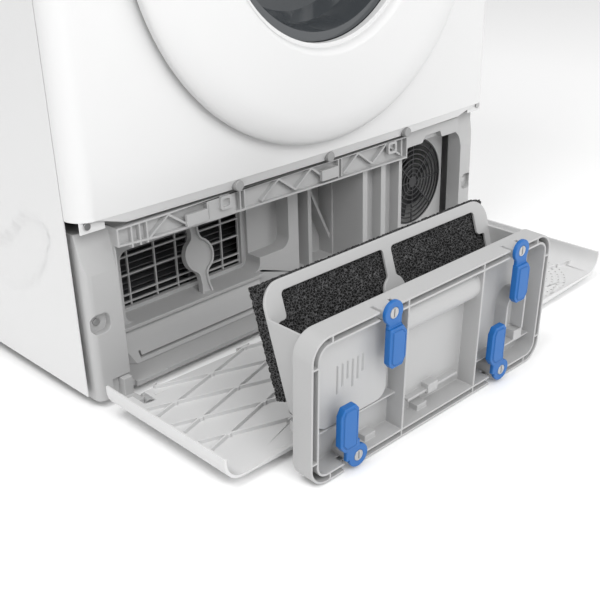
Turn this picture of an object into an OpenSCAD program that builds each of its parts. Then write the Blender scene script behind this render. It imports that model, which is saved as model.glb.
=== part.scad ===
// Front-loading heat pump clothes dryer. X runs across the front, +Y into the
// machine, +Z up. The service flap is folded down and the fluff filter stands in front of it.

/* [Casing] */
// Width across the two side panels
case_w = 598; // [590:1:606]
// Height of the worktop above the floor
case_h = 842; // [838:1:860]
// Depth from the front panel's corners to the rear panel
case_d = 600; // [598:1:640]
// Thickness of the casing's sheet steel
sheet = 1; // [0.8:0.1:1.2]
// Radius of the front panel's vertical corners
corner_r = 20; // [16:1:20]
// How far the front bulges at its middle
crown = 6; // [4:0.5:6]
// Clearance under the side panels
skirt_z = 13.5; // [12:0.5:16]
// Height of the front panel's bottom fold
fold_z = 191; // [191:0.5:192]
// Height of the joint between front panel and control fascia
fascia_z = 700; // [698:1:704]

/* [Door] */
// Outer radius of the door ring
door_r = 232; // [226:1:234]
// Height of the door's centre
door_z = 438; // [436:1:440]
// Radius of the door opening in the front panel
opening_r = 185; // [184:1:186]
// Thickness of the door ring
door_t = 18; // [16:1:20]

/* [Drum] */
// Outer radius of the drum shell
drum_r = 278; // [276:1:278]
// Height of the drum's axis
drum_z = 490; // [489:1:492]
// Depth at which the drum shell starts
drum_y0 = 64; // [64:1:66]
// Depth at which the drum shell ends
drum_y1 = 543; // [540:1:544]

/* [Service flap] */
// Length of the flap from its hinge to its free edge
flap_l = 170.5; // [168:0.5:170.5]
// Height of the flap's walls above its hinge axis
flap_wall = 32; // [28:1:32]
// Thickness of the flap's plastic
flap_t = 2.5; // [2:0.1:3]
// How far the open flap sags below level, in degrees
flap_sag = 0.8; // [0:0.1:1]

/* [Fluff filter] */
// Width of the filter plate
plate_w = 324.4; // [320:0.1:328]
// Height of the filter plate
plate_h = 139.2; // [138:0.1:140]
// Depth of the filter plate's rim
plate_d = 22; // [20:1:24]
// Where the plate's lower left corner stands, from the middle of the front
plate_at = [-247.8, -223.8, 1];
// Turn of the filter about the vertical, in degrees
plate_yaw = -1.2; // [-2:0.1:0]
// Forward lean of the filter, in degrees
plate_lean = 2.3; // [0:0.1:2.3]
// Thickness of the foam mat
foam_t = 15; // [12:1:15]

/* [Hidden] */
// Every node of the part

$fn = 64;
eps = 0.01;
half_w = case_w / 2;
// Reach of the filter's levers in front of the front panel
front_reach = 245;
mid_y = (case_d - front_reach) / 2;
// Radius of the front's bulge
crown_r = (pow(half_w - corner_r, 2) + crown * crown) / (2 * crown);

// Colours
white_steel = [0.93, 0.93, 0.93];
flap_white = [0.88, 0.88, 0.88];
base_grey = [0.68, 0.68, 0.68];
filter_grey = [0.77, 0.77, 0.77];
lever_blue = [0.24, 0.5, 0.8];
foam_black = [0.12, 0.12, 0.12];
steel = [0.75, 0.75, 0.77];
dark_plastic = [0.22, 0.22, 0.23];
glass_grey = [0.35, 0.38, 0.4, 0.5];

// Places of the base's front
base_y = 12;
base_z = 8;
base_top = 176.4;
base_half_w = 293;
recess_x = [-256, 80];
recess_z = [13, 160];
window_y = 60;
window_x = [-223, -40];
window_z = [50, 128];
fan_x = 206;
fan_z = 99;
fan_r = 52;

// Buffers under the front panel
buffer_x = [-120, 9, 137];
buffer_z = 184.8;
buffer_r = 5.5;

// Hook loops on the cross beam, which the flap's free edge makes room for
loop_x = [-139, 112];

// Hinge axes
flap_hinge = [-5, 5];
door_hinge = [242, -16];
motor_x = 170;
motor_z = 120;
shaft_r = 6;
run_gap = 0.05;
roller_x = 149.2;
roller_z = drum_z - 258.5;

// Levers: pivots on the plate
lever_y = -7;
pivot_ul = [89, 135.5];
pivot_ur = [268, 136];
pivot_ll = [52, 13.5];
pivot_lr = [255, 13.5];
hub_r = 11;
lever_pivots = [pivot_ul, pivot_ur, pivot_ll, pivot_lr];
hub_y = -4.5;
screw_r = 2.2;

// ---------- Helpers ----------

// Moves the machine's drawing frame to the part's origin
module machine() translate([0, -mid_y, 0]) children();

// Box between two corners
module box(lo, hi) translate(lo) cube(hi - lo);

// Cylinder along Y
module rod_y(x, z, y0, y1, r) translate([x, y0, z]) rotate([-90, 0, 0]) cylinder(h = y1 - y0, r = r);

// Cylinder along X
module rod_x(y, z, x0, x1, r) translate([x0, y, z]) rotate([0, 90, 0]) cylinder(h = x1 - x0, r = r);

// A flat outline in X and Z, thickened from y0 to y1
module slab_y(y0, y1) translate([0, y1, 0]) rotate([90, 0, 0]) linear_extrude(y1 - y0) children();

// A flat outline in Y and Z, thickened from x0 to x1
module slab_x(x0, x1) translate([x0, 0, 0]) rotate([90, 0, 90]) linear_extrude(x1 - x0) children();

// Profile turned about a Y axis at (x, z); the profile's own Y is depth
module turned_y(x, z) translate([x, 0, z]) rotate([-90, 0, 0]) rotate_extrude($fn = 128) children();

// Both sides of the machine
module both_sides() { children(); mirror([1, 0, 0]) children(); }

// Plan of the crowned front, drawn in by inset
module front_plan(inset) {
    round_r = corner_r - inset / 2;
    offset(r = round_r, $fn = 96) offset(delta = -round_r)
    intersection() {
        translate([0, crown_r - crown + inset]) circle(crown_r, $fn = 1440);
        translate([-half_w + inset, -crown - 1]) square([case_w - 2 * inset, 120]);
    }
}

// Wall that follows the crowned front back to y_end
module front_wall(inset, t, y_end) intersection() {
    difference() { front_plan(inset); front_plan(inset + t); }
    translate([-half_w, -2 * crown]) square([case_w, y_end + 2 * crown]);
}

// Rounded rectangle with true arcs
module round_rect(w, h, r) {
    translate([r, 0]) square([w - 2 * r, h]);
    translate([0, r]) square([w, h - 2 * r]);
    for (x = [r, w - r], y = [r, h - r]) translate([x, y]) circle(r);
}

// ---------- Casing ----------

module side_panel() {
    panel_y = 22.8;
    lip = 6;
    box([-half_w, panel_y, skirt_z], [-half_w + sheet, case_d - 8, case_h - 27]);
    box([-half_w + sheet - eps, panel_y, fold_z + 2], [-half_w + lip, panel_y + sheet, case_h - 27]);
}

module side_panel_left() color(white_steel) machine() side_panel();
module side_panel_right() color(white_steel) machine() mirror([1, 0, 0]) side_panel();

module rear_panel() color(steel) machine() {
    bush_hole = 18.3;
    slot = [60, 8];
    difference() {
        union() {
            box([-half_w + 2, case_d - 7.4, skirt_z], [half_w - 2, case_d - 6, case_h - 27]);
            rod_y(0, drum_z, case_d - 6 - eps, case_d, 225);
        }
        rod_y(0, drum_z, case_d - 7, case_d - 1.4, 223);
        rod_y(0, drum_z, case_d - 8, case_d + 1, bush_hole);
        for (x = [-230, -150, 90, 170], z = [40 : 16 : 120])
            box([x, case_d - 9, z], [x + slot[0], case_d - 4, z + slot[1]]);
        box([208, case_d - 9, 160], [242, case_d - 4, 190]);
        rod_y(-250, 170, case_d - 9, case_d - 4, 11);
    }
}

module top_panel() color(white_steel) machine() {
    top_z = case_h - 26;
    wall = 3;
    difference() {
        translate([0, 0, top_z]) linear_extrude(26) difference() {
            translate([0, 8]) offset(r = 10) offset(delta = -10) union() {
                front_plan(0);
                translate([-half_w, 60]) square([case_w, case_d - 68]);
            }
            translate([-half_w - 1, case_d]) square([case_w + 2, 30]);
        }
        box([-half_w + 12, 40, top_z - 1], [half_w - 12, case_d - 16, top_z + 26 - wall]);
    }
}

module front_panel() color(white_steel) machine() {
    side_depth = 22;
    tab = [26, 1.2, 11];
    difference() {
        union() {
            translate([0, 0, fold_z]) linear_extrude(fascia_z - fold_z)
                front_wall(0, sheet, side_depth);
            bottom_hem();
        }
        rod_y(0, door_z, -20, 20, opening_r);
        box([-208, -10, door_z - 14], [-192, 10, door_z + 14]);
    }
    // Screw tabs at both lower corners
    both_sides() difference() {
        box([-half_w + 5, 6, fold_z - tab[2]], [-half_w + 5 + tab[0], 6 + tab[1], fold_z + 1]);
        rod_y(-half_w + 12, fold_z - 4, 0, 10, 2.2);
    }
}

// Bottom hem, folded back under the panel and tapering out towards both corners
module bottom_hem() difference() {
    hem_half = 285;
    hem_z = 180;
    hem_angle = 2 * asin(hem_half / crown_r);
    translate([0, crown_r - crown, 0]) rotate(-90 - hem_angle / 2)
        rotate_extrude(angle = hem_angle, $fn = 2880) polygon([
            [crown_r - 0.2, fold_z + 0.6], [crown_r - 2.5, fold_z + 0.6],
            [crown_r - 8.5, hem_z], [crown_r - 6.2, hem_z]
        ]);
    both_sides() slab_y(-20, 40)
        polygon([[284, 193], [310, 193], [310, 170], [240, 170], [243, 179]]);
    for (x = buffer_x) rod_y(x, buffer_z, -20, 20, buffer_r + run_gap);
}

module control_fascia() color(white_steel) machine() difference() {
    translate([0, 0, fascia_z + 0.6]) linear_extrude(case_h - 27 - fascia_z - 0.6)
        front_wall(0, 3, 21);
    box([-288, -20, 752], [-113, 10, 806]);
    rod_y(-30, 760, -20, 10, 8);
    for (x = [215, 252]) rod_y(x, 760, -20, 10, 12.4);
    box([29, -20, 739], [176, 10, 786]);
}

module display_window() color(dark_plastic) machine()
    box([29.3, -6.2, 739.3], [175.7, -1.5, 785.7]);

module program_knob() color(steel) machine() difference() {
    union() {
        turned_y(-30, 760) polygon([
            [0, -30], [24, -30], [28, -27], [29, -9], [0, -9]
        ]);
        rod_y(-30, 760, -9 - eps, 14, 7.5);
        box([-31, -31, 762], [-29, -29, 785]);
    }
    rod_y(-30, 760, -3, 15, 3);
}

module round_button(x) color(steel) machine() turned_y(x, 760) polygon([
    [0, -9], [10.5, -9], [12, -7.5], [12, 10], [0, 10]
]);
module power_button() round_button(215);
module start_button() round_button(252);

module tank_drawer() color(white_steel) machine() {
    front = [[-286.5, -9, 753.5], [-114.5, -1, 804.5]];
    difference() {
        union() {
            box(front[0], front[1]);
            box([-283, -1 - eps, 757], [-118, 430, 801]);
        }
        box([-281, 8, 759], [-120, 428, 802]);
        translate([0, 0, 753]) slab_y(-10, -4) translate([-230, 8]) round_rect(60, 30, 12);
    }
}

// ---------- Door ----------

// The ring is full at its inner edge and falls away towards a thin outer lip
module door_ring() color(white_steel) machine() difference() {
    back = -8;
    turned_y(0, door_z) polygon(concat(
        [[132, back], [132, back - 8]],
        [for (a = [180 : 15 : 270]) [144 + 8 * cos(a), back - door_t + 10 + 9 * sin(a)]],
        [for (a = [270 : 10 : 360]) [door_r - 34 + 34 * cos(a), back - 6 + (door_t - 7) * sin(a)]],
        [[door_r, back]]
    ));
    // Grip hollow at the opening side
    rod_y(-door_r + 2, door_z, back - 5, back + 1, 26);
}

module door_glass() color(glass_grey) machine() turned_y(0, door_z) polygon([
    [0, 48], [88, 46], [106, 38], [116, 24], [122, -7.9], [131, -7.9], [131, -5], [145, -5],
    [145, -1], [126, -1], [120, 26], [109, 42], [90, 51], [0, 53]
]);

module door_inner_frame() color(dark_plastic) machine() turned_y(0, door_z) polygon([
    [145.5, -7.95], [171, -7.95], [171, 6], [167, 12], [150, 12], [145.5, 6]
]);

// Two knuckles on the front panel that hold the hinge pin
module door_hinge_bracket() color(steel) machine() {
    pin_r = 3;
    difference() {
        for (z = [door_z - 38, door_z + 21])
            box([door_hinge[0] - 7, door_hinge[1] - 7, z], [door_hinge[0] + 7.5, 6, z + 17]);
        translate([0, 0, door_z - 60]) linear_extrude(120) front_plan(0);
        for (z = [door_z - 20.5, door_z + 38])
            box([door_hinge[0] - 8, door_hinge[1] - 8, z], [door_hinge[0] + 10, 7, z + 1]);
    }
    translate([door_hinge[0], door_hinge[1], door_z - 36]) cylinder(h = 72, r = pin_r);
}

module door_hinge_arm() color(steel) machine() difference() {
    union() {
        translate([door_hinge[0], door_hinge[1], door_z - 20]) cylinder(h = 40, r = 6);
        box([door_hinge[0] - 6, door_hinge[1], door_z - 20], [door_hinge[0] + 6, -4.6, door_z + 20]);
        box([192, -7.95, door_z - 20], [door_hinge[0], -4.6, door_z + 20]);
    }
    translate([door_hinge[0], door_hinge[1], door_z - 21]) cylinder(h = 42, r = 3 + run_gap);
}

module door_latch_hook() color(steel) machine() {
    box([-203, -7.95, door_z - 8], [-197, 14, door_z + 8]);
    box([-197 - eps, 9, door_z - 8], [-193.5, 14, door_z + 8]);
}

module door_lock() color(dark_plastic) machine() difference() {
    box([-224, 1, door_z - 34], [-187, 23, door_z + 34]);
    box([-207, 0, door_z - 11], [-190, 19, door_z + 11]);
}

module door_seal() color(dark_plastic) machine() turned_y(0, door_z) polygon([
    [178.5, 8], [178.5, -4], [181, -7.5], [184.5, -6], [184.5, 8]
]);

// ---------- Drum and air path ----------

module front_bulkhead() color(base_grey) machine() {
    plate_y = 24;
    channel = [114, 62, 262];
    difference() {
        union() {
            box([-288, plate_y, fold_z + 2], [288, plate_y + 4, 698]);
            rod_y(0, door_z, 9, plate_y + eps, 184);
            box([-channel[0], plate_y, fold_z + 2], [channel[0], channel[1], channel[2]]);
        }
        rod_y(0, door_z, 0, 70, 178);
        box([-channel[0] + 3, plate_y + 5.5, fold_z], [channel[0] - 3, channel[1] - 2, 300]);
    }
    for (x = [-roller_x, roller_x]) {
        rod_y(x, roller_z, plate_y + 4 - eps, 60, 9);
        rod_y(x, roller_z, 60 - eps, 92, 4);
    }
}

module lint_filter() color(filter_grey) machine() difference() {
    union() {
        box([-109, 31, 196], [109, 58, 256]);
        box([-60, 31, 256 - eps], [60, 37, 262]);
    }
    box([-106, 34, 199], [106, 55, 257]);
    for (x = [-104 : 26 : 80]) box([x, 30, 202], [x + 22, 59, 248]);
}

module drum_shell() color(steel) machine() turned_y(0, drum_z) polygon([
    [236, drum_y0], [drum_r, drum_y0], [drum_r, drum_y1], [drum_r - 1, drum_y1],
    [drum_r - 1, drum_y0 + 2], [240, drum_y0 + 2], [238, drum_y0 + 6], [236, drum_y0 + 6]
]);

module drum_paddles() color(base_grey) machine() intersection() {
    rod_y(0, drum_z, 90, 520, drum_r - 1.1);
    for (a = [0, 120, 240]) translate([0, 0, drum_z]) rotate([0, a, 0]) slab_y(90, 520)
        polygon([[-34, -290], [34, -290], [20, -246], [9, -222], [-9, -222], [-20, -246]]);
}

module drum_rear_wall() color(steel) machine() {
    inner = drum_r - 1.1;
    difference() {
        rod_y(0, drum_z, drum_y1 - 3, drum_y1 - 1, inner);
        for (ring = [[90, 12], [125, 18], [160, 24], [195, 30]])
            for (i = [0 : ring[1] - 1])
                rod_y(ring[0] * cos(i * 360 / ring[1]), drum_z + ring[0] * sin(i * 360 / ring[1]),
                    drum_y1 - 5, drum_y1 + 1, 5);
    }
}

module drum_shaft() color(steel) machine() {
    rod_y(0, drum_z, drum_y1 - 0.95, drum_y1 + 6, 60);
    rod_y(0, drum_z, drum_y1 + 6 - eps, case_d - 4, 12);
}

module bearing_bush() color([0.72, 0.6, 0.35]) machine() difference() {
    union() {
        rod_y(0, drum_z, case_d - 22, case_d - 1.4, 18.25);
        rod_y(0, drum_z, case_d - 22, case_d - 7.5, 28);
    }
    rod_y(0, drum_z, case_d - 30, case_d + 1, 12 + run_gap);
}

module support_roller(x) color(dark_plastic) machine() difference() {
    turned_y(x, roller_z) polygon([[0, 68], [19, 68], [20, 69], [20, 87], [19, 88], [0, 88]]);
    rod_y(x, roller_z, 60, 95, 4 + run_gap);
}
module support_roller_left() support_roller(-roller_x);
module support_roller_right() support_roller(roller_x);

module belt_loop(grow) hull() {
    translate([0, drum_z]) circle(drum_r + 0.6 + grow, $fn = 160);
    translate([motor_x, motor_z]) circle(10.6 + grow, $fn = 32);
}
module drive_belt() color(dark_plastic) machine() slab_y(291, 301) difference() {
    belt_loop(1.8);
    belt_loop(0);
}

module drive_motor() color(steel) machine() difference() {
    union() {
        rod_y(motor_x, motor_z, 330, 450, 52);
        box([motor_x - 40, 340, 15.1], [motor_x + 40, 440, motor_z - 30]);
    }
    rod_y(motor_x, motor_z, 320, 460, shaft_r + run_gap);
}

module motor_rotor() color(steel) machine() {
    rod_y(motor_x, motor_z, 284, 520, shaft_r);
    rod_y(motor_x, motor_z, 290, 302, 10);
    for (y = [287, 302]) rod_y(motor_x, motor_z, y - eps, y + 3, 14);
}

module blower_wheel() color(dark_plastic) machine() difference() {
    union() {
        rod_y(motor_x, motor_z, 474, 477, 64);
        rod_y(motor_x, motor_z, 474, 508, 14);
        for (i = [0 : 23]) translate([motor_x, 476, motor_z]) rotate([0, i * 15, 0])
            translate([48, 0, 0]) rotate([0, 25, 0]) cube([15, 32, 1.6]);
    }
    rod_y(motor_x, motor_z, 470, 515, shaft_r + 0.03);
}

module blower_housing() color(base_grey) machine() difference() {
    union() {
        rod_y(motor_x, motor_z, 466, 516, 82);
        box([motor_x - 70, 466, 15.1], [motor_x + 70, 516, 60]);
    }
    rod_y(motor_x, motor_z, 469, 513, 74);
    rod_y(motor_x, motor_z, 460, 520, 46);
}

// ---------- Base ----------

module base_tub() color(base_grey) machine() difference() {
    rim_z = 158;
    box([-base_half_w, 90.3, 12], [base_half_w, case_d - 9, rim_z]);
    box([-base_half_w + 3, 93.3, 15], [base_half_w - 3, case_d - 12, rim_z + 1]);
    // Air way from the filter recess to the heat exchangers
    box([-240, 80, 24], [40, 100, rim_z + 1]);
    rod_y(fan_x, fan_z, 80, 100, fan_r + 3);
}

// Plan of the base front, with its front corners rounded
module base_plan(back_y) {
    corner = 8;
    side_x = base_half_w - corner;
    translate([-side_x, base_y]) square([2 * side_x, back_y - base_y]);
    translate([-base_half_w, base_y + corner]) square([2 * base_half_w, back_y - base_y - corner]);
    for (x = [-side_x, side_x]) translate([x, base_y + corner]) circle(corner);
}

module base_front() color(base_grey) machine() {
    back_y = 90;
    difference() {
        translate([0, 0, base_z]) linear_extrude(base_top - base_z) base_plan(back_y);
        // Filter recess
        recess_cut(base_y - 1, window_y, 12);
        // Openings and hollows in the recess's rear wall
        translate([window_x[0], 0, window_z[0]]) slab_y(window_y - 1, 84)
            round_rect(window_x[1] - window_x[0], window_z[1] - window_z[0], 10);
        box([-218, 63, 54], [-46, back_y + 1, 124]);
        translate([-52, 0, 66]) slab_y(window_y - 1, 80) round_rect(58, 84, 12);
        box([22, window_y - 1, 30], [38, 80, 152]);
        slab_y(window_y - 1, 82) polygon([[44, 34], [78, 34], [78, 150], [44, 150]]);
        // Fan opening
        translate([150, 0, 36]) slab_y(base_y - 1, 40) round_rect(116, 122, 14);
        rod_y(fan_x, fan_z, 30, back_y + 1, fan_r + 3);
        slab_y(base_y - 1, 20) polygon([[184, 150], [192, 166], [222, 166], [230, 150]]);
        // Flutes between recess and fan
        for (x = [88, 120]) translate([x, 0, 30]) slab_y(base_y - 1, 26) round_rect(24, 126, 6);
        // Room for the flap's hinges
        both_sides() box([-276, base_y - 1, base_z - 1], [-250, 16, 27]);
        // Sloping shoulders at the tops of the columns
        both_sides() slab_x(-296, -257.5)
            polygon([[base_y - 1, 137], [base_y, 137], [base_y + 9, base_top + 1], [base_y - 1, base_top + 1]]);
        // Screw pockets in the columns
        both_sides() translate([-291, 0, 78]) slab_y(base_y - 1, 20) round_rect(20, 20, 7);
        both_sides() rod_y(-282, 88, 15, 40, 2.3);
        // Hollow inside of the columns
        both_sides() box([-286, 32, 30], [-264, back_y + 1, 160]);
    }
    // Sloping ribs in the pocket beside the posts
    slab_y(64, 84) polygon([[43.5, 124], [78.5, 52], [78.5, 60], [43.5, 132]]);
    slab_y(70, 84) polygon([[43.5, 92], [71, 151], [66, 151], [43.5, 99]]);
    keyhole_rib();
    // Latch bar on the lower lip
    box([-212, base_y - 1, 9], [-189, base_y + 1, 14.2]);
    // Sill in front of the window
    box([-238, 52, 46.2], [-41, window_y + eps, 50]);
}

// Recess for the filter, with rounded corners
module recess_cut(y0, y1, r) translate([recess_x[0], 0, recess_z[0]]) slab_y(y0, y1)
    round_rect(recess_x[1] - recess_x[0], recess_z[1] - recess_z[0] + 30, r);

// Leaning rib with a dished disc, across the window; a raised rim runs round its outline
module keyhole_rib() translate([-117, window_y - 2, 46]) rotate([-14, 0, 0]) difference() {
    slab_y(0, 8) keyhole_plan();
    slab_y(-1, 3) offset(r = -2.2) keyhole_plan();
}
module keyhole_plan() offset(r = -9) offset(r = 9) {
    translate([0, 46]) circle(19);
    polygon([[-8, 0], [8, 0], [5.5, 14], [5.5, 40], [-5.5, 40], [-5.5, 14]]);
    translate([-5.5, 50]) square([11, 45]);
}

module exchanger_grid() color(filter_grey) machine() {
    bar = 1.6;
    y0 = 86.5;
    for (x = [-198, -164, -136, -73, -48.4]) box([x, y0, 54.4], [x + bar, y0 + 3, 123.6]);
    for (z = [58, 66, 88, 108]) box([-217.6, y0, z], [-46.4, y0 + 3, z + bar]);
}

module lower_cover() color(base_grey) machine() difference() {
    intersection() {
        slab_x(-243, -44.5) polygon([[41, 13.4], [57.5, 45.6], [57.5, 13.4]]);
        // Both ends draw in towards the front
        linear_extrude(60) polygon([[-243, 58], [-227, 40], [-55, 40], [-44.5, 58]]);
    }
    // Parting line that turns up at both ends
    box([-222, 40, 17], [-62, 50, 19.2]);
    box([-222, 40, 17], [-219.8, 52, 24]);
    box([-64.2, 40, 17], [-62, 54, 30]);
}

// Fin pack with end plates and cross tubes
module fin_pack(y0, y1) {
    x0 = -236;
    x1 = 20;
    for (z = [22 : 7 : 160]) box([x0, y0, z], [x1, y1, z + 1.2]);
    for (x = [x0, (x0 + x1) / 2, x1 - 3]) box([x, y0 + 1, 15.1], [x + 3, y1 - 1, 164]);
    for (x = [x0 + 20 : 36 : x1 - 16]) translate([x, (y0 + y1) / 2, 18]) cylinder(h = 144, r = 4);
}
module evaporator() color(steel) machine() fin_pack(104, 180);
module condenser() color(steel) machine() fin_pack(210, 300);

module compressor() color(dark_plastic) machine() translate([-130, 450, 0]) {
    translate([0, 0, 24]) cylinder(h = 120, r = 66);
    translate([0, 0, 144 - eps]) rotate_extrude() polygon([[0, 0], [66, 0], [58, 14], [36, 22], [0, 24]]);
    for (a = [45 : 90 : 315]) rotate(a) translate([52, 0, 15.1]) cylinder(h = 9, r = 10);
}

module refrigerant_pipes() color([0.72, 0.45, 0.3]) machine() {
    pipe_r = 4;
    translate([-60, 0, 0]) rod_y(20, 120, 300.2, 420, pipe_r);
    translate([-40, 420, 120]) sphere(pipe_r);
    rod_x(420, 120, -69, -40, pipe_r);
    rod_y(-200, 100, 300.2, 400, pipe_r);
}

module condensate_pump() color(dark_plastic) machine() {
    translate([236, 150, 15.1]) cylinder(h = 60, r = 28);
    translate([236, 150, 75]) cylinder(h = 20, r = 12);
    box([200, 140, 40], [236, 150, 50]);
}

module cooling_fan() color(dark_plastic) machine() difference() {
    union() {
        rod_y(fan_x, fan_z, 48, 74, 18);
        for (i = [0 : 6]) translate([fan_x, 61, fan_z]) rotate([0, i * 360 / 7, 0])
            translate([14, 0, 0]) rotate([38, 0, 0]) translate([0, -1, -14]) cube([34, 2, 28]);
    }
    rod_y(fan_x, fan_z, 40, 80, 3 + run_gap);
}

module fan_guard() color(dark_plastic) machine() {
    wire = 1.4;
    y0 = 40.3;
    for (r = [12 : 6 : 54]) slab_y(y0, y0 + 1.6) translate([fan_x, fan_z]) difference() {
        circle(r);
        circle(r - wire);
    }
    difference() {
        for (a = [0 : 45 : 135]) translate([fan_x, y0, fan_z]) rotate([0, a, 0])
            translate([-54, 0, -0.7]) cube([108, 1.6, 1.4]);
        rod_y(fan_x, fan_z, y0 - 1, y0 + 3, 6);
    }
    rod_y(fan_x, fan_z, y0, y0 + 2, 7);
    rod_y(fan_x, fan_z, y0 + 1, 84, 3);
}

module cross_beam() color(base_grey) machine() {
    beam_y = [4.5, 11.7];
    clip_y = 1.5;
    edge = 2;
    x0 = -258;
    x1 = 150;
    low = [[x0, 158.5], [-216, 155.5], [-142, 153.5], [-118, 153.5], [x1, 149.5]];
    // Web with a raised edge all round, cells open to the front
    difference() {
        slab_y(beam_y[0], beam_y[1]) beam_plan(low, x0, x1);
        slab_y(beam_y[0] - 1, beam_y[1] - 1.6) difference() {
            offset(delta = -edge) beam_plan(low, x0, x1);
            translate([-152, 140]) square([34, 40]);
        }
    }
    // Zigzag ribs and upright ribs between the cells
    for (start = [-224, -82, 40], i = [0 : start == -224 ? 1 : 3]) beam_rib(beam_y,
        [start + 24 * i, i % 2 == 0 ? 157 : 174.5], [start + 24 * (i + 1), i % 2 == 0 ? 174.5 : 157]);
    for (x = [-243, -234, -226, -154, -112, -106, 31, 36, 138]) box([x, beam_y[0], 154], [x + 1.8, beam_y[1], 175]);
    // Clip blocks and hook loops
    for (x = [-181, 3]) box([x, clip_y, 157], [x + 25, beam_y[0] + 1, 169]);
    for (x = loop_x) slab_y(clip_y, beam_y[0] + 1) translate([x, 162]) difference() {
        round_rect(15, 14, 3);
        translate([3, 3]) round_rect(9, 8, 2);
    }
}
module beam_plan(low, x0, x1) polygon(concat(low, [[x1, base_top], [x0, base_top]]));

// Straight rib between two points of the beam's face
module beam_rib(depth, from, to) slab_y(depth[0], depth[1]) hull() for (p = [from, to])
    translate(p - [0.8, 0.8]) square(1.6);

module buffers() color([0.6, 0.6, 0.6]) machine()
    for (x = buffer_x) rod_y(x, buffer_z, -6.5, 1, buffer_r);

module levelling_feet() color(dark_plastic) machine()
    for (x = [-255, 255], y = [115, case_d - 50]) translate([x, y, 0]) {
        cylinder(h = 5, r = 20);
        translate([0, 0, 5 - eps]) cylinder(h = 7 + eps, r = 6);
    }

// ---------- Service flap ----------

// Turns a closed flap down about its hinge
module flap_open() translate([0, flap_hinge[0], flap_hinge[1]]) rotate([90 + flap_sag, 0, 0])
    translate([0, -flap_hinge[0], -flap_hinge[1]]) children();

module service_flap() color(flap_white) machine() flap_open() flap_closed();

module flap_closed() {
    z0 = flap_hinge[1] + 3;
    z1 = flap_hinge[1] + flap_l;
    back = flap_hinge[0] + flap_wall;
    free_edge_y = 4;
    vent = [212, 108];
    vent_pitch = 7;
    difference() {
        union() {
            translate([0, 0, z0]) linear_extrude(z1 - z0) front_wall(2, flap_t, back);
            translate([0, 0, z1 - flap_t]) linear_extrude(flap_t) flap_fill(free_edge_y);
            intersection() {
                translate([0, 0, z0]) linear_extrude(z1 - z0) front_wall(2, flap_t + 4, 12);
                flap_ribs(z0, z1);
            }
        }
        both_sides() box([-269.5, -12, 0], [-256.5, 30, 28]);
        for (x = loop_x) box([x - 1, 0.9, z1 - 10], [x + 16, 12, z1 + 1]);
        slab_y(-16, 22) for (ring = [1 : 9]) let (count = 6 * ring)
            for (i = [1 : count]) translate(vent + vent_pitch * ring * [cos(i * 360 / count), sin(i * 360 / count)])
                circle(1.4, $fn = 6);
    }
    // Hinge lugs
    both_sides() for (x = [-274, -256]) difference() {
        slab_x(x, x + 4) hull() {
            translate(flap_hinge) circle(4.6, $fn = 32);
            translate([1.5, 16]) square([2, 5]);
        }
        rod_x(flap_hinge[0], flap_hinge[1], x - 1, x + 5, 2.5 + run_gap);
    }
}

// Solid plan of the flap's inside, back to y_end
module flap_fill(y_end) intersection() {
    front_plan(2);
    translate([-half_w, -2 * crown]) square([case_w, y_end + 2 * crown]);
}

// Diamond net of stiffening ribs with a boss at each crossing, low where the cross beam comes close
module flap_ribs(z0, z1) {
    rib_y = [-6, 9];
    low_z = 145;
    crossing = [-250, 48];
    pitch = [60, 38];
    fall = pitch[1] / 2 / pitch[0];
    difference() {
        union() {
            for (j = [0 : 8], side = [-1, 1]) slab_y(rib_y[0], rib_y[1]) polygon([
                for (p = [[-half_w, -1], [half_w, -1], [half_w, 1], [-half_w, 1]]) [p[0], p[1]
                    + crossing[1] + pitch[1] * (1 - side * (j - 2)) + side * fall * (p[0] - crossing[0])]
            ]);
            for (i = [0 : 8], j = [-1 : 3]) rod_y(crossing[0] + pitch[0] * i,
                crossing[1] + pitch[1] * (j + (i % 2) / 2), rib_y[0], rib_y[1], 3, $fn = 8);
        }
        box([-half_w, 3, low_z], [half_w, 12, z1]);
        for (x = [[-186, -150], [-2, 34], [-143, -120], [108, 131]]) box([x[0], 1, low_z], [x[1], 12, z1]);
        both_sides() box([-280, -12, 0], [-246, 12, 30]);
    }
}

module flap_hinge_brackets() color(base_grey) machine() both_sides() {
    pin_x = [-275, -251];
    box([-268, flap_hinge[0] - 4.5, 1.5], [-258, 16, 7.5]);
    box([-268, 6, 7.5 - eps], [-258, 16, 26]);
    rod_x(flap_hinge[0], flap_hinge[1], pin_x[0], pin_x[1], 2.5);
}

// ---------- Fluff filter ----------

// Stands the filter in front of the flap
module filter_place() translate(plate_at) rotate([plate_lean, 0, plate_yaw]) children();

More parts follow.
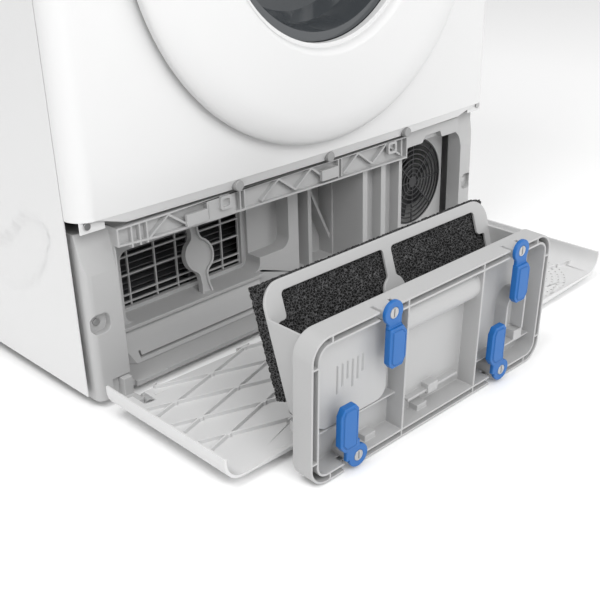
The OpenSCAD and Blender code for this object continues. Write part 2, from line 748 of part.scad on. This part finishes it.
module filter_plate() color(filter_grey) machine() filter_place() {
    rim = 2.2;
    gutter = 7;
    floor_y = plate_d - 3;
    round_r = 20;
    difference() {
        slab_y(0, plate_d) round_rect(plate_w, plate_h, round_r);
        // Gutter between the two rim walls
        slab_y(-1, floor_y) difference() {
            translate([rim, rim]) round_rect(plate_w - 2 * rim, plate_h - 2 * rim, round_r - rim);
            translate([gutter, gutter])
                round_rect(plate_w - 2 * gutter, plate_h - 2 * gutter, round_r - gutter);
        }
        slab_y(-1, floor_y) translate([gutter + rim, gutter + rim]) round_rect(
            plate_w - 2 * (gutter + rim), plate_h - 2 * (gutter + rim), round_r - gutter - rim);
        lever_notches();
    }
    // Short ribs across the gutter
    difference() {
        union() {
            for (x = [22, 112, 216, 300], z = [1, plate_h - gutter - 1])
                box([x, 0, z], [x + 1.8, floor_y + 1, z + gutter]);
            for (x = [1, plate_w - gutter - 1], z = [24, plate_h - 26])
                box([x, 0, z], [x + gutter, floor_y + 1, z + 1.8]);
            // Tall ribs beside the grip
            for (x = [112, 216]) box([x, 0, gutter], [x + 2.4, floor_y + 1, plate_h - gutter]);
            // Grip bar, half round
            intersection() {
                rod_x(18, 113, 114, 217, 15.5);
                box([113, 0, 90], [218, floor_y + 1, 130]);
            }
            // Raised field on the left, with fine upright marks
            slab_y(10, floor_y + 1) translate([16, 45]) round_rect(84, 85, 12);
            for (i = [0 : 5]) box([38 + 6 * i, 9.4, 74 + 5 * (i % 3)], [38.9 + 6 * i, 11, 100]);
            // Cross rib above the lower steps
            box([gutter, 10, 42], [113, floor_y + 1, 44]);
            box([217, 8, 26], [plate_w - gutter, floor_y + 1, 28]);
            box([134, 12, 22], [206, floor_y + 1, 25]);
            for (x = [74, 144]) box([x, 9, gutter], [x + 14, floor_y + 1, 15]);
            box([160, 10, 20], [174, floor_y + 1, 30]);
            box([290, 8, 28], [304, floor_y + 1, 38]);
        }
        lever_notches();
    }
    // Arched pocket wall
    slab_y(5, floor_y + 1) difference() {
        arch(16);
        arch(13.5);
    }
    // Bosses that the lever screws go into, cut level with the rim
    intersection() {
        slab_y(0, plate_d) round_rect(plate_w, plate_h, round_r);
        for (p = lever_pivots) difference() {
            rod_y(p[0], p[1], 0, floor_y + 1, 9);
            rod_y(p[0], p[1], -1, 12.5, screw_r + run_gap);
        }
    }
}

// Arch over the pocket at the right of the plate
module arch(r) translate([284, 72]) {
    circle(r);
    translate([-r, r - 48]) square([2 * r, 48 - r]);
}

// Room for the four lever hubs in the rim
module lever_notches() {
    hub = hub_r + 1.2;
    for (p = lever_pivots) rod_y(p[0], p[1], -1, 12, hub);
    for (p = [pivot_ul, pivot_ur]) box([p[0] - hub, -1, p[1]], [p[0] + hub, 12, p[1] + hub]);
    for (p = [pivot_ll, pivot_lr]) box([p[0] - hub, -1, -1], [p[0] + hub, 12, p[1]]);
}

// The frame leans back from the plate; its foot is close to the plate
frame_foot = [32, 38];
frame_tilt = -19.5;
frame_w = 298;
frame_h = 126;
frame_x = (plate_w - frame_w) / 2;
frame_t = 3;

module frame_place() translate([frame_x, frame_foot[0], frame_foot[1]]) rotate([frame_tilt, 0, 0])
    children();

module filter_frame() color(filter_grey) machine() filter_place() {
    frame_place() slab_y(0, frame_t) difference() {
        round_rect(frame_w, frame_h, 20);
        frame_window();
    }
    // Side walls of the trough
    for (x = [frame_x, frame_x + frame_w - 2.4]) slab_x(x, x + 2.4) polygon([
        [plate_d, 50], [frame_foot[0] + 7.5, 53], [frame_foot[0] + 33, 130], [plate_d, plate_h - 8]
    ]);
    // Trough floor and the shelf it stands on
    slab_x(frame_x, frame_x + frame_w)
        polygon([[plate_d, 50], [frame_foot[0] + 7.5, 53], [frame_foot[0] + 7.5, 56], [plate_d, 53]]);
    slab_x(frame_x + 4, frame_x + frame_w - 4)
        polygon([[plate_d, 34], [44, 31], [44, 42], [plate_d, 38]]);
}

// Both windows of the frame: wider at the foot, with a disc on the bar between them
module frame_window() offset(r = -4) offset(delta = 4) offset(r = 4) offset(delta = -4) difference() {
    union() {
        translate([20, 18]) square([frame_w - 40, 98]);
        translate([9, 18]) square([frame_w - 18, 74]);
    }
    translate([144, 0]) square([11, frame_h]);
    translate([149.5, 76]) circle(14);
}

module filter_foam() color(foam_black) machine() filter_place() frame_place()
    box([0.5, frame_t + 0.02, 24], [frame_w - 0.5, frame_t + foam_t, frame_h - 1]);

// Quarter-turn lever, hub at the origin, with its thicker grip hanging to the given side
module lever(step, reach) difference() {
    union() {
        slab_y(hub_y, -0.5) {
            circle(hub_r);
            translate([step / 2 - 8, -17]) square([16, 17]);
        }
        slab_y(lever_y, -0.5) polygon([
            [step - 10, -13], [step - 10, 5 - reach], [step - 6, -reach], [step + 7, -reach],
            [step + 11, 7 - reach], [step + 11, -20], [step + 6, -13]
        ]);
        // Raised field on the grip
        slab_y(lever_y - 1, lever_y + eps) polygon([
            [step - 7, -16], [step - 7, 6 - reach], [step - 4.5, 3 - reach], [step + 6, 3 - reach],
            [step + 8, 8 - reach], [step + 8, -21], [step + 4, -16]
        ]);
    }
    rod_y(0, 0, lever_y - 2, 0, 5 + run_gap);
}
module lever_at(pivot, turn, step, reach) color(lever_blue) machine() filter_place()
    translate([pivot[0], 0, pivot[1]]) rotate([0, turn, 0]) lever(step, reach);

module lever_upper_left() lever_at(pivot_ul, 0, 3.5, 51);
module lever_upper_right() lever_at(pivot_ur, 0, 2, 52);
module lever_lower_left() lever_at(pivot_ll, 180, 14, 56);
module lever_lower_right() lever_at(pivot_lr, 180, 13, 54);

module lever_screws() color(steel) machine() filter_place()
    for (p = lever_pivots) difference() {
        union() {
            rod_y(p[0], p[1], hub_y, -0.1, 5);
            rod_y(p[0], p[1], -0.1 - eps, 12, screw_r);
        }
        box([p[0] - 0.8, hub_y - 1, p[1] - 3.8], [p[0] + 0.8, hub_y + 1.2, p[1] + 3.8]);
    }

// ---------- Fasteners and connections ----------

module screw(x, z, y) {
    rod_y(x, z, y, y + 2, 3.6);
    rod_y(x, z, y + 2 - eps, y + 12, 1.9);
}
module panel_screws() color(steel) machine() both_sides() {
    screw(-282, 88, 18);
    screw(-half_w + 12, fold_z - 4, 4);
}

module mains_inlet() color(dark_plastic) machine() difference() {
    box([209, case_d - 20, 161], [241, case_d - 2.4, 189]);
    box([214, case_d - 14, 166], [236, case_d, 184]);
}

module drain_spigot() color(base_grey) machine() difference() {
    union() {
        rod_y(-250, 170, case_d - 24, case_d, 8);
        rod_y(-250, 170, case_d - 9.4, case_d - 7.5, 10.5);
    }
    rod_y(-250, 170, case_d - 25, case_d + 1, 6);
}

side_panel_left();
side_panel_right();
rear_panel();
top_panel();
front_panel();
control_fascia();
display_window();
program_knob();
power_button();
start_button();
tank_drawer();
door_ring();
door_glass();
door_inner_frame();
door_hinge_bracket();
door_hinge_arm();
door_latch_hook();
door_lock();
door_seal();
front_bulkhead();
lint_filter();
drum_shell();
drum_paddles();
drum_rear_wall();
drum_shaft();
bearing_bush();
support_roller_left();
support_roller_right();
drive_belt();
drive_motor();
motor_rotor();
blower_wheel();
blower_housing();
base_tub();
base_front();
evaporator();
condenser();
compressor();
refrigerant_pipes();
condensate_pump();
cooling_fan();
fan_guard();
cross_beam();
buffers();
exchanger_grid();
lower_cover();
levelling_feet();
service_flap();
flap_hinge_brackets();
filter_plate();
filter_frame();
filter_foam();
lever_upper_left();
lever_upper_right();
lever_lower_left();
lever_lower_right();
lever_screws();
panel_screws();
mains_inlet();
drain_spigot();
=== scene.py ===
"""Front-loading heat pump clothes dryer, service flap open and fluff filter standing in front of it.
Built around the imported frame: metres, +X to the right, +Y into the machine, +Z up.
"""
import math

import bpy
from mathutils import Matrix, Vector, noise


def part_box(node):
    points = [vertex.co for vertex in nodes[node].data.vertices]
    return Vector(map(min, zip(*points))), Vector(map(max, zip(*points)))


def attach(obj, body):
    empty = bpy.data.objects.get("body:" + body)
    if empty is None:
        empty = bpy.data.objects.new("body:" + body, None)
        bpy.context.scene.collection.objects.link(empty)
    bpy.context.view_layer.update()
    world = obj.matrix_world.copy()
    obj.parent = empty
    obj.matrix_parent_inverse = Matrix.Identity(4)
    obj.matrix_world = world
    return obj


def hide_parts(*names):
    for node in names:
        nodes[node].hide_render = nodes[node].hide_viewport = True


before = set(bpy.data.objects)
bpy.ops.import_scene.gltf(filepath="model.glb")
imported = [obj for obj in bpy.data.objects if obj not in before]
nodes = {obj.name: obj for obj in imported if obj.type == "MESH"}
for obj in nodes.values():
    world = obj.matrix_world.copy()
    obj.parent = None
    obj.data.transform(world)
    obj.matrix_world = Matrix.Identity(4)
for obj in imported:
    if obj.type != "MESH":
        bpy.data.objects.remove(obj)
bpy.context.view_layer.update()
scene = bpy.context.scene

# ---- Camera and studio ----
# A long lens looks down on the lower left corner of the machine. White floor, white surroundings,
# a key softbox in front, a weak fill at the right and a top softbox over the left side.

eye = Vector((-0.68568, -0.84670, 0.46792))
heading = math.radians(44.106)
dip = math.radians(25.107)
roll = math.radians(-1.623)
ahead = Vector((math.sin(heading) * math.cos(dip), math.cos(heading) * math.cos(dip), -math.sin(dip)))
level = Vector((math.cos(heading), -math.sin(heading), 0))
above = level.cross(ahead)
right = math.cos(roll) * level + math.sin(roll) * above
upward = math.cos(roll) * above - math.sin(roll) * level
bpy.ops.object.select_all(action="DESELECT")
bpy.ops.object.camera_add()
camera = bpy.context.object
camera.name = "camera"
camera.matrix_world = Matrix.Translation(eye) @ Matrix((right, upward, -ahead)).transposed().to_4x4()
camera.data.lens = 55.98
camera.data.sensor_width = 36
camera.data.clip_start = 0.01
scene.camera = camera
scene.view_settings.view_transform = "Standard"
scene.view_settings.look = "None"


def softbox(name, place, target, width, power):
    """A square area light at place, turned to face target."""
    bpy.ops.object.light_add(type="AREA", location=place)
    lamp = bpy.context.object
    lamp.name = name
    lamp.data.shape = "RECTANGLE"
    lamp.data.size = width
    lamp.data.size_y = width
    lamp.data.energy = power
    lamp.rotation_euler = (Vector(target) - Vector(place)).to_track_quat("-Z", "Y").to_euler()


softbox("key_softbox", (-0.9, -2.4, 2.2), (0, -0.2, 0.1), 1.6, 46)
softbox("fill_softbox", (1.6, -2.6, 0.9), (0, -0.2, 0.1), 1.6, 14)
softbox("top_softbox", (-1.6, -0.5, 3.0), (-0.4, -0.4, 0), 1.2, 34)
surroundings = bpy.data.worlds.new("white_studio")
surroundings.use_nodes = True
sky = surroundings.node_tree.nodes["Background"]
sky.inputs["Color"].default_value = (1, 1, 1, 1)
sky.inputs["Strength"].default_value = 0.7
scene.world = surroundings

bpy.ops.mesh.primitive_grid_add(x_subdivisions=4, y_subdivisions=4, size=14, location=(0, 0, 0))
floor = bpy.context.object
floor.name = "studio_floor"
bpy.ops.object.transform_apply(location=True, rotation=True, scale=True)
floor_paint = bpy.data.materials.new("floor_paint")
floor_paint.use_nodes = True
floor_shader = floor_paint.node_tree.nodes["Principled BSDF"]
floor_shader.inputs["Base Color"].default_value = (0.97, 0.97, 0.97, 1)
floor_shader.inputs["Roughness"].default_value = 0.75
floor.data.materials.append(floor_paint)


# ---- White casing sheets: front panel, right side, worktop, fascia ----
# Thin steel, bent and stamped, then enamelled white. The enamel has a faint orange peel and picks up
# a little grey in the corners. The fascia is a moulding in the same white.

def surface_group():
    """Fine surface texture and a slow change of shade, both from the piece's own coordinates."""
    group = bpy.data.node_groups.new("moulded_surface", "ShaderNodeTree")
    sockets = (("Place", "NodeSocketVector", "INPUT"), ("Grain Scale", "NodeSocketFloat", "INPUT"),
               ("Cloud Scale", "NodeSocketFloat", "INPUT"), ("Grain", "NodeSocketFloat", "OUTPUT"),
               ("Cloud", "NodeSocketFloat", "OUTPUT"))
    for label, kind, way in sockets:
        group.interface.new_socket(name=label, in_out=way, socket_type=kind)
    entry = group.nodes.new("NodeGroupInput")
    leave = group.nodes.new("NodeGroupOutput")
    grain = group.nodes.new("ShaderNodeTexNoise")
    grain.inputs["Detail"].default_value = 3
    cloud = group.nodes.new("ShaderNodeTexNoise")
    cloud.inputs["Detail"].default_value = 2
    group.links.new(entry.outputs["Place"], grain.inputs["Vector"])
    group.links.new(entry.outputs["Grain Scale"], grain.inputs["Scale"])
    group.links.new(entry.outputs["Place"], cloud.inputs["Vector"])
    group.links.new(entry.outputs["Cloud Scale"], cloud.inputs["Scale"])
    group.links.new(grain.outputs["Fac"], leave.inputs["Grain"])
    group.links.new(cloud.outputs["Fac"], leave.inputs["Cloud"])
    return group


surface = surface_group()
cloud_scale = 9
bump_strength = 0.6
weld_distance = 0.00002
flat_angle = math.radians(0.6)
smooth_angle = math.radians(40)


def finish(name, colour, roughness, grain_scale, depth, shade=0.05, gloss=0.08, **shader):
    """A material with grain in its normals, and a slight change of colour and gloss over the piece."""
    made = bpy.data.materials.new(name)
    made.use_nodes = True
    tree = made.node_tree
    link = tree.links.new
    main = tree.nodes["Principled BSDF"]
    for socket, value in shader.items():
        main.inputs[socket.replace("_", " ")].default_value = value
    place = tree.nodes.new("ShaderNodeTexCoord")
    texture = tree.nodes.new("ShaderNodeGroup")
    texture.node_tree = surface
    texture.inputs["Grain Scale"].default_value = grain_scale
    texture.inputs["Cloud Scale"].default_value = cloud_scale
    link(place.outputs["Object"], texture.inputs["Place"])
    tint = tree.nodes.new("ShaderNodeMix")
    tint.data_type = "RGBA"
    tint.inputs["A"].default_value = [c * (1 - shade) for c in colour] + [1]
    tint.inputs["B"].default_value = [min(1, c * (1 + shade)) for c in colour] + [1]
    link(texture.outputs["Cloud"], tint.inputs["Factor"])
    link(tint.outputs["Result"], main.inputs["Base Color"])
    spread = tree.nodes.new("ShaderNodeMapRange")
    spread.inputs["To Min"].default_value = max(0.02, roughness - gloss)
    spread.inputs["To Max"].default_value = min(1, roughness + gloss)
    link(texture.outputs["Cloud"], spread.inputs["Value"])
    link(spread.outputs["Result"], main.inputs["Roughness"])
    bump = tree.nodes.new("ShaderNodeBump")
    bump.inputs["Strength"].default_value = bump_strength
    bump.inputs["Distance"].default_value = depth
    link(texture.outputs["Grain"], bump.inputs["Height"])
    link(bump.outputs["Normal"], main.inputs["Normal"])
    return made


def paint(piece, material):
    """Gives the whole piece one material, over whatever it had."""
    if piece.material_slots:
        for place in piece.material_slots:
            place.material = material
    else:
        piece.data.materials.append(material)


def alone(piece):
    """Selects one piece and nothing else."""
    bpy.ops.object.select_all(action="DESELECT")
    piece.select_set(True)
    bpy.context.view_layer.objects.active = piece


def settle(piece, body, slot, material, *stands_for):
    """Puts a finished piece on its body, with its finish, in place of the CAD nodes named."""
    paint(piece, material)
    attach(piece, body)
    if stands_for:
        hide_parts(*stands_for)


def rounded_copy(node, edge, segments=2, sharp=32):
    """A welded copy of a node's shell with its edges rounded and its flats kept flat."""
    piece = nodes[node].copy()
    piece.data = nodes[node].data.copy()
    piece.name = node + "_moulding"
    piece.parent = None
    scene.collection.objects.link(piece)
    for key in list(piece.keys()):
        del piece[key]
    alone(piece)
    bpy.ops.object.mode_set(mode="EDIT")
    bpy.ops.mesh.select_all(action="SELECT")
    bpy.ops.mesh.remove_doubles(threshold=weld_distance)
    bpy.ops.mesh.dissolve_limited(angle_limit=flat_angle)
    bpy.ops.object.mode_set(mode="OBJECT")
    bevel = piece.modifiers.new("edge", "BEVEL")
    bevel.width = edge
    bevel.segments = segments
    bevel.limit_method = "ANGLE"
    bevel.angle_limit = math.radians(sharp)
    bevel.use_clamp_overlap = False
    bpy.ops.object.modifier_apply(modifier="edge")
    bpy.ops.object.shade_smooth_by_angle(angle=smooth_angle)
    weighted = piece.modifiers.new("flats", "WEIGHTED_NORMAL")
    weighted.keep_sharp = True
    bpy.ops.object.modifier_apply(modifier="flats")
    return piece


white_enamel = finish("white_enamel", (0.66, 0.66, 0.66), 0.3, 420, 0.00002, shade=0.012, gloss=0.05,
                      Coat_Weight=0.25, Coat_Roughness=0.12)
white_moulding = finish("white_moulding", (0.66, 0.66, 0.66), 0.38, 1400, 0.00002, shade=0.015)
for name, edge in (("front_panel", 0.0003), ("top_panel", 0.0015)):
    settle(rounded_copy(name, edge), "cabinet", "white_steel", white_enamel, name)
paint(nodes["side_panel_right"], white_enamel)
settle(rounded_copy("control_fascia", 0.0006), "cabinet", "white_plastic", white_moulding, "control_fascia")


# ---- Left side panel with its stamped swirl ----
# One sheet with a shallow round stamping that stiffens it. A wave crosses the round and the part
# under the wave is pressed in, so only the wave and the lower rim catch the light. The rows of
# vertices are closer together low down, where the stamping is.

sheet_low, sheet_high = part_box("side_panel_left")
swirl_y = -0.0095
swirl_z = 0.212
swirl_r = 0.125
swirl_depth = 0.004
wave_z = 0.1639
wave_height = 0.0217
wave_half = 0.077
crest_y = -0.0975
slope = 0.006
sheet_cuts = 300
sheet_thickness = 0.001


def stamped(y, z):
    """How deep the sheet is pressed in at (y, z), from 0 to 1."""
    away = math.hypot(y - swirl_y, z - swirl_z)
    inside = min(1, max(0, (swirl_r - away) / slope))
    wave = wave_z + wave_height * math.cos(math.pi * (y - crest_y) / wave_half)
    below = min(1, max(0, (wave - z) / slope))
    return (inside * inside * (3 - 2 * inside)) * (below * below * (3 - 2 * below))


bpy.ops.object.select_all(action="DESELECT")
bpy.ops.mesh.primitive_plane_add(size=1, location=(0, 0, 0))
side = bpy.context.object
side.name = "side_panel_left_sheet"
bpy.ops.object.mode_set(mode="EDIT")
bpy.ops.mesh.select_all(action="SELECT")
bpy.ops.mesh.subdivide(number_cuts=sheet_cuts)
bpy.ops.object.mode_set(mode="OBJECT")
for vertex in side.data.vertices:
    y = sheet_low.y + (vertex.co.x + 0.5) * (sheet_high.y - sheet_low.y)
    z = sheet_low.z + (vertex.co.y + 0.5) ** 1.5 * (sheet_high.z - sheet_low.z)
    vertex.co = (sheet_low.x + swirl_depth * stamped(y, z), y, z)
alone(side)
bpy.ops.object.mode_set(mode="EDIT")
bpy.ops.mesh.select_all(action="SELECT")
bpy.ops.mesh.normals_make_consistent(inside=False)
bpy.ops.object.mode_set(mode="OBJECT")
if side.data.polygons[0].normal.x > 0:
    side.data.flip_normals()
wall = side.modifiers.new("sheet", "SOLIDIFY")
wall.thickness = sheet_thickness
wall.offset = -1
bpy.ops.object.modifier_apply(modifier="sheet")
bpy.ops.object.shade_smooth_by_angle(angle=math.radians(60))
settle(side, "cabinet", "white_steel", white_enamel, "side_panel_left")


# ---- Door ----
# A white moulded ring round a dark glass bowl, on a steel hinge.

door_glass = finish("door_glass", (0.05, 0.055, 0.06), 0.06, 300, 0.000002, Coat_Weight=0.3)
dark_moulding = finish("dark_moulding", (0.028, 0.028, 0.03), 0.5, 1600, 0.00003, shade=0.12)
settle(rounded_copy("door_ring", 0.0006, sharp=50), "door", "white_plastic", white_moulding, "door_ring")
paint(nodes["door_glass"], door_glass)
for name in ("door_inner_frame", "door_lock"):
    paint(nodes[name], dark_moulding)


# ---- Controls and tank drawer ----
# Turned metal-look knob and buttons, a black display window and the white front of the water tank.

brushed_metal = finish("brushed_metal", (0.55, 0.55, 0.57), 0.32, 900, 0.00002, Metallic=1.0)
display_black = finish("display_black", (0.012, 0.012, 0.014), 0.12, 200, 0.000002, Coat_Weight=0.4)
for name in ("program_knob", "power_button", "start_button"):
    settle(rounded_copy(name, 0.0005), name, "steel", brushed_metal, name)
settle(rounded_copy("tank_drawer", 0.001), "water_tank", "white_plastic", white_moulding, "tank_drawer")
paint(nodes["display_window"], display_black)


# ---- Base front, cross beam, lower cover and the wire grid ----
# Mid grey polypropylene mouldings with thin ribs. The grid is a slightly darker moulding behind the
# window.

base_grey = finish("base_grey", (0.43, 0.43, 0.43), 0.52, 1500, 0.00004, shade=0.05)
filter_grey = finish("filter_grey", (0.41, 0.41, 0.41), 0.45, 1500, 0.00003, shade=0.03)
for name, edge in (("base_front", 0.00045), ("cross_beam", 0.0003), ("lower_cover", 0.0004),
                   ("flap_hinge_brackets", 0.0005)):
    settle(rounded_copy(name, edge), "cabinet", "base_plastic", base_grey, name)
grid = rounded_copy("exchanger_grid", 0.0003, segments=1)
settle(grid, "cabinet", "filter_plastic", filter_grey, "exchanger_grid")
for name in ("front_bulkhead", "blower_housing", "base_tub", "drum_paddles", "drain_spigot"):
    paint(nodes[name], base_grey)
buffer_rubber = finish("buffer_rubber", (0.3, 0.3, 0.3), 0.6, 1200, 0.00003)
settle(rounded_copy("buffers", 0.0008), "cabinet", "seal_rubber", buffer_rubber, "buffers")
for name in ("door_seal", "drive_belt"):
    paint(nodes[name], buffer_rubber)


# ---- Inside parts ----
# Galvanised steel, aluminium fins painted dark grey as painted shade, copper pipe and black mouldings. They
# show only through openings.

galvanised = finish("galvanised", (0.5, 0.5, 0.52), 0.42, 60, 0.00001, shade=0.12, Metallic=1.0)
# The fins get a dark grey in place of bright aluminium: painted shade for the dim bay behind the grid.
fins_painted_shade = finish("fins_painted_shade", (0.1, 0.1, 0.105), 0.5, 400, 0.00002, shade=0.3, Metallic=0.2)
copper_tube = finish("copper_tube", (0.6, 0.3, 0.16), 0.3, 200, 0.00001, Metallic=1.0)
bronze_bush = finish("bronze_bush", (0.45, 0.32, 0.15), 0.4, 900, 0.00002, Metallic=1.0)
for name in ("rear_panel", "drum_shell", "drum_rear_wall", "drum_shaft", "drive_motor", "motor_rotor",
             "door_hinge_bracket", "door_hinge_arm", "door_latch_hook"):
    paint(nodes[name], galvanised)
for name in ("evaporator", "condenser"):
    paint(nodes[name], fins_painted_shade)
paint(nodes["refrigerant_pipes"], copper_tube)
paint(nodes["bearing_bush"], bronze_bush)
for name in ("compressor", "condensate_pump", "cooling_fan", "fan_guard", "blower_wheel", "mains_inlet",
             "levelling_feet", "support_roller_left", "support_roller_right"):
    paint(nodes[name], dark_moulding)
paint(nodes["lint_filter"], filter_grey)


# ---- Screws ----
# Bright zinc-plated heads in the columns, and slotted heads in the filter's levers.

bright_zinc = finish("bright_zinc", (0.46, 0.46, 0.46), 0.3, 500, 0.00001, Metallic=0.85)
settle(rounded_copy("panel_screws", 0.0004), "cabinet", "screw_steel", bright_zinc, "panel_screws")
settle(rounded_copy("lever_screws", 0.0003), "fluff_filter", "screw_steel", bright_zinc, "lever_screws")


# ---- Service flap ----
# A white moulding, crowned outside and ribbed inside, with a round field of small vent holes.

flap_white = finish("flap_white", (0.62, 0.62, 0.62), 0.42, 1400, 0.00003, shade=0.02)
settle(rounded_copy("service_flap", 0.0004), "service_flap", "white_plastic", flap_white, "service_flap")


# ---- Fluff filter: plate and frame ----
# Light grey mouldings. The plate has a double-wall rim, the frame holds the foam with two windows.

for name, edge in (("filter_plate", 0.0007), ("filter_frame", 0.0007)):
    settle(rounded_copy(name, edge), "fluff_filter", "filter_plastic", filter_grey, name)


# ---- Foam mat ----
# Black open-cell foam. Its faces are torn cells about three millimetres across, with painted shade in the
# pores.

foam_cell = 0.0033
foam_grain = 0.0011
pore_depth = 0.0024
pore_wall = 0.5
foam_black = bpy.data.materials.new("foam_black")
foam_black.use_nodes = True
foam_tree = foam_black.node_tree
foam_shader = foam_tree.nodes["Principled BSDF"]
foam_place = foam_tree.nodes.new("ShaderNodeTexCoord")
foam_cells = foam_tree.nodes.new("ShaderNodeTexVoronoi")
foam_cells.feature = "DISTANCE_TO_EDGE"
foam_cells.inputs["Scale"].default_value = 1 / (0.8 * foam_cell)
foam_tree.links.new(foam_place.outputs["Object"], foam_cells.inputs["Vector"])
# The cell centres are painted near-black: painted shade in the open pores. The struts keep the foam's own
# dark grey.
strut = foam_tree.nodes.new("ShaderNodeMapRange")
strut.inputs["From Min"].default_value = 0.02
strut.inputs["From Max"].default_value = 0.16
strut.inputs["To Min"].default_value = 1
strut.inputs["To Max"].default_value = 0
foam_tree.links.new(foam_cells.outputs["Distance"], strut.inputs["Value"])
foam_pore_shade = foam_tree.nodes.new("ShaderNodeMix")
foam_pore_shade.data_type = "RGBA"
foam_pore_shade.inputs["A"].default_value = (0.002, 0.002, 0.002, 1)
foam_pore_shade.inputs["B"].default_value = (0.12, 0.12, 0.122, 1)
foam_tree.links.new(strut.outputs["Result"], foam_pore_shade.inputs["Factor"])
foam_tree.links.new(foam_pore_shade.outputs["Result"], foam_shader.inputs["Base Color"])
foam_bump = foam_tree.nodes.new("ShaderNodeBump")
foam_bump.inputs["Distance"].default_value = 0.0008
foam_tree.links.new(strut.outputs["Result"], foam_bump.inputs["Height"])
foam_tree.links.new(foam_bump.outputs["Normal"], foam_shader.inputs["Normal"])
foam_shader.inputs["Roughness"].default_value = 0.7
foam_shader.inputs["Specular IOR Level"].default_value = 0.25

foam = rounded_copy("filter_foam", 0.001)
foam.data.remesh_voxel_size = foam_grain
alone(foam)
bpy.ops.object.voxel_remesh()
for vertex, outwards in [(v, v.normal.copy()) for v in foam.data.vertices]:
    near = noise.voronoi(vertex.co / foam_cell)[0]
    pore = min(1, (near[1] - near[0]) / pore_wall)
    vertex.co -= pore_depth * pore * outwards
bpy.ops.object.shade_smooth()
settle(foam, "fluff_filter", "foam", foam_black, "filter_foam")


# ---- Levers ----
# Four quarter-turn levers moulded in blue, hub at one end and a broad chamfered grip.

lever_blue = finish("lever_blue", (0.006, 0.11, 0.36), 0.45, 1400, 0.00002, shade=0.04)
for corner in ("upper_left", "upper_right", "lower_left", "lower_right"):
    name = "lever_" + corner
    settle(rounded_copy(name, 0.0009, segments=3), name, "lever_plastic", lever_blue, name)
